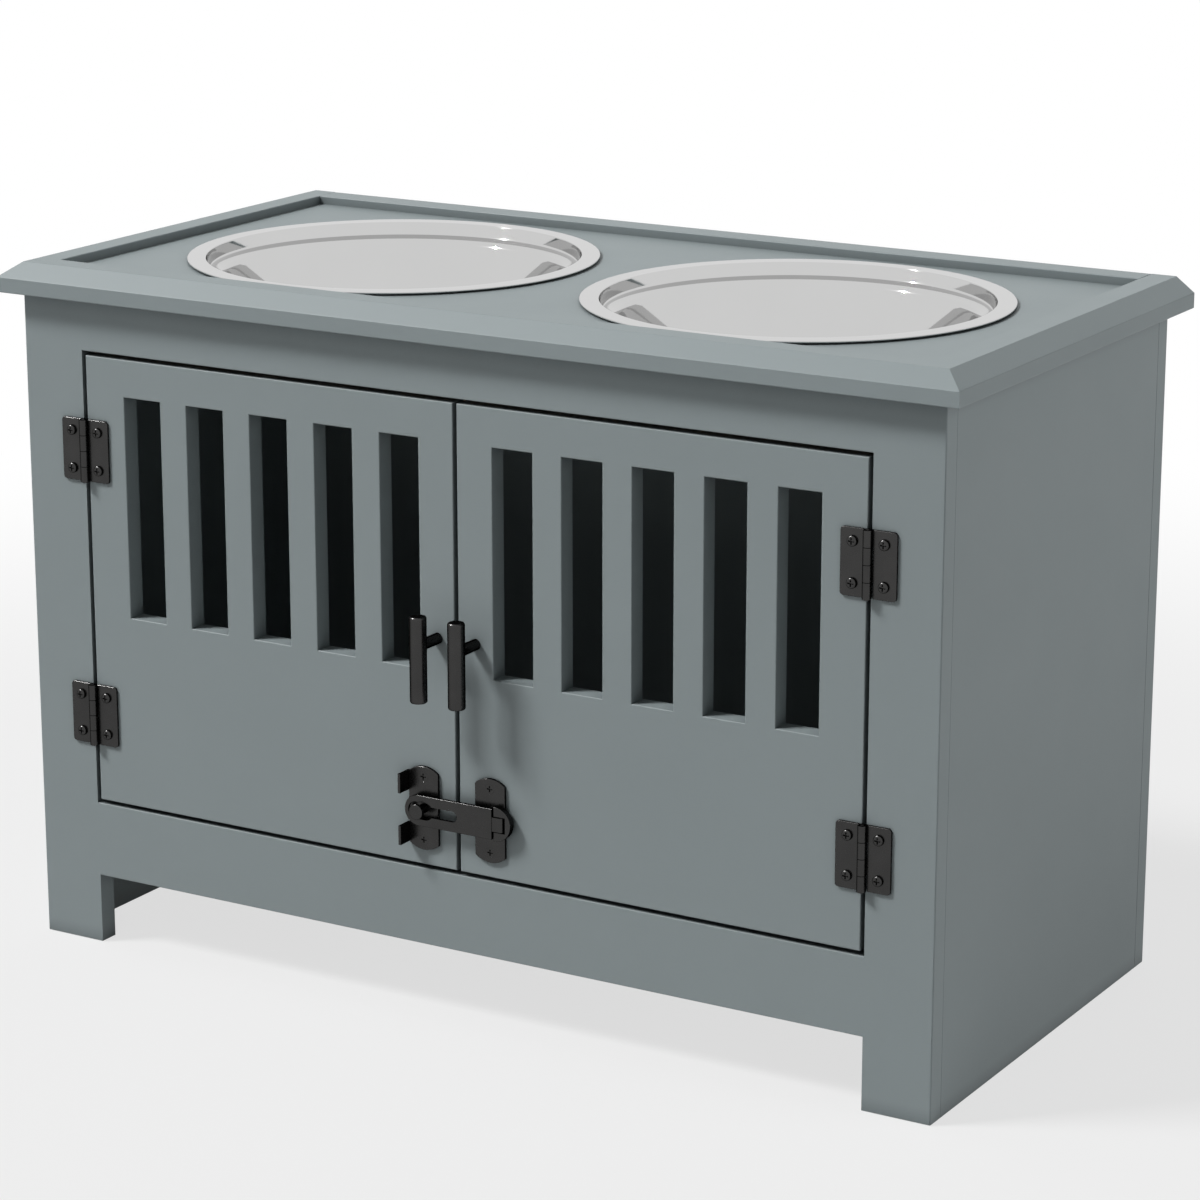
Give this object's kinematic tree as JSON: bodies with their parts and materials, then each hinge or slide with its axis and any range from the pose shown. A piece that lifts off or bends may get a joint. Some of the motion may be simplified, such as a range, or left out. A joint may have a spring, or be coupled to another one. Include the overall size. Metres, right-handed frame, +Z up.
{
  "type": "dog food storage cabinet",
  "caption": "Raised feeding cabinet: lift-out bowls sunk in a bordered top over a cupboard with slotted inset doors, surface hinges, bar handles and a swing-bar latch.",
  "frame": {"origin": "on the floor, under the middle of the overall box", "axes": "+X along the width to the viewer's right, +Y from the doors to the back, +Z up"},
  "size_m": [0.6, 0.314, 0.4],
  "materials": {
    "painted_board": "satin blue-grey paint",
    "raw_wood": "bare softwood",
    "black_hardware": "satin black coating",
    "zinc_plated": "zinc plated",
    "stainless_bowl": "satin pressed stainless steel"
  },
  "bodies": {
    "cabinet": {"left_side_panel": "painted_board", "right_side_panel": "painted_board", "back_panel": "painted_board", "floor_panel": "painted_board", "left_stile": "painted_board", "right_stile": "painted_board", "top_rail": "painted_board", "bottom_rail": "painted_board", "bowl_deck": "painted_board", "border_front": "painted_board", "border_right": "painted_board", "border_back": "painted_board", "border_left": "painted_board", "door_stop_strip": "raw_wood", "left_top_cleat": "raw_wood", "right_top_cleat": "raw_wood", "left_floor_cleat": "raw_wood", "right_floor_cleat": "raw_wood", "rail_dowels": "raw_wood", "panel_dowels": "raw_wood", "cleat_screws": "zinc_plated", "left_upper_frame_leaf": "black_hardware", "left_lower_frame_leaf": "black_hardware", "right_upper_frame_leaf": "black_hardware", "right_lower_frame_leaf": "black_hardware", "frame_hinge_screws": "black_hardware", "hinge_pins": "black_hardware"},
    "left_door": {"left_door": "painted_board", "left_upper_door_leaf": "black_hardware", "left_lower_door_leaf": "black_hardware", "left_hinge_screws": "black_hardware", "left_handle_bar": "black_hardware", "left_handle_post": "black_hardware", "left_handle_screw": "zinc_plated", "latch_keeper_plate": "black_hardware", "latch_stud": "black_hardware", "left_latch_screws": "black_hardware"},
    "right_door": {"right_door": "painted_board", "right_upper_door_leaf": "black_hardware", "right_lower_door_leaf": "black_hardware", "right_hinge_screws": "black_hardware", "right_handle_bar": "black_hardware", "right_handle_post": "black_hardware", "right_handle_screw": "zinc_plated", "latch_base_plate": "black_hardware", "latch_pin": "black_hardware", "right_latch_screws": "black_hardware"},
    "latch_bar": {"latch_bar": "black_hardware"},
    "left_bowl": {"left_bowl": "stainless_bowl"},
    "right_bowl": {"right_bowl": "stainless_bowl"}
  },
  "joints": [
    {"name": "right_door_swing", "type": "hinge", "parent": "cabinet", "child": "right_door", "pos_m": [0.24775, -0.1355, 0.21775], "axis": [0, 0, 1], "range_deg": [0, 150]},
    {"name": "left_door_swing", "type": "hinge", "parent": "cabinet", "child": "left_door", "pos_m": [-0.24775, -0.1355, 0.21775], "axis": [0, 0, -1], "range_deg": [0, 120]},
    {"name": "latch_bar_swing", "type": "hinge", "parent": "right_door", "child": "latch_bar", "pos_m": [0.03, -0.1372, 0.121], "axis": [0, 0, 1], "range_deg": [0, 120]},
    {"name": "left_bowl_lift", "type": "slide", "parent": "cabinet", "child": "left_bowl", "axis": [0, 0, 1], "range_m": [0, 0.09]},
    {"name": "right_bowl_lift", "type": "slide", "parent": "cabinet", "child": "right_bowl", "axis": [0, 0, 1], "range_m": [0, 0.09]}
  ],
  "couplings": [
    {"joint": "left_door_swing", "follows": "right_door_swing", "ratio": 0.8}
  ]
}
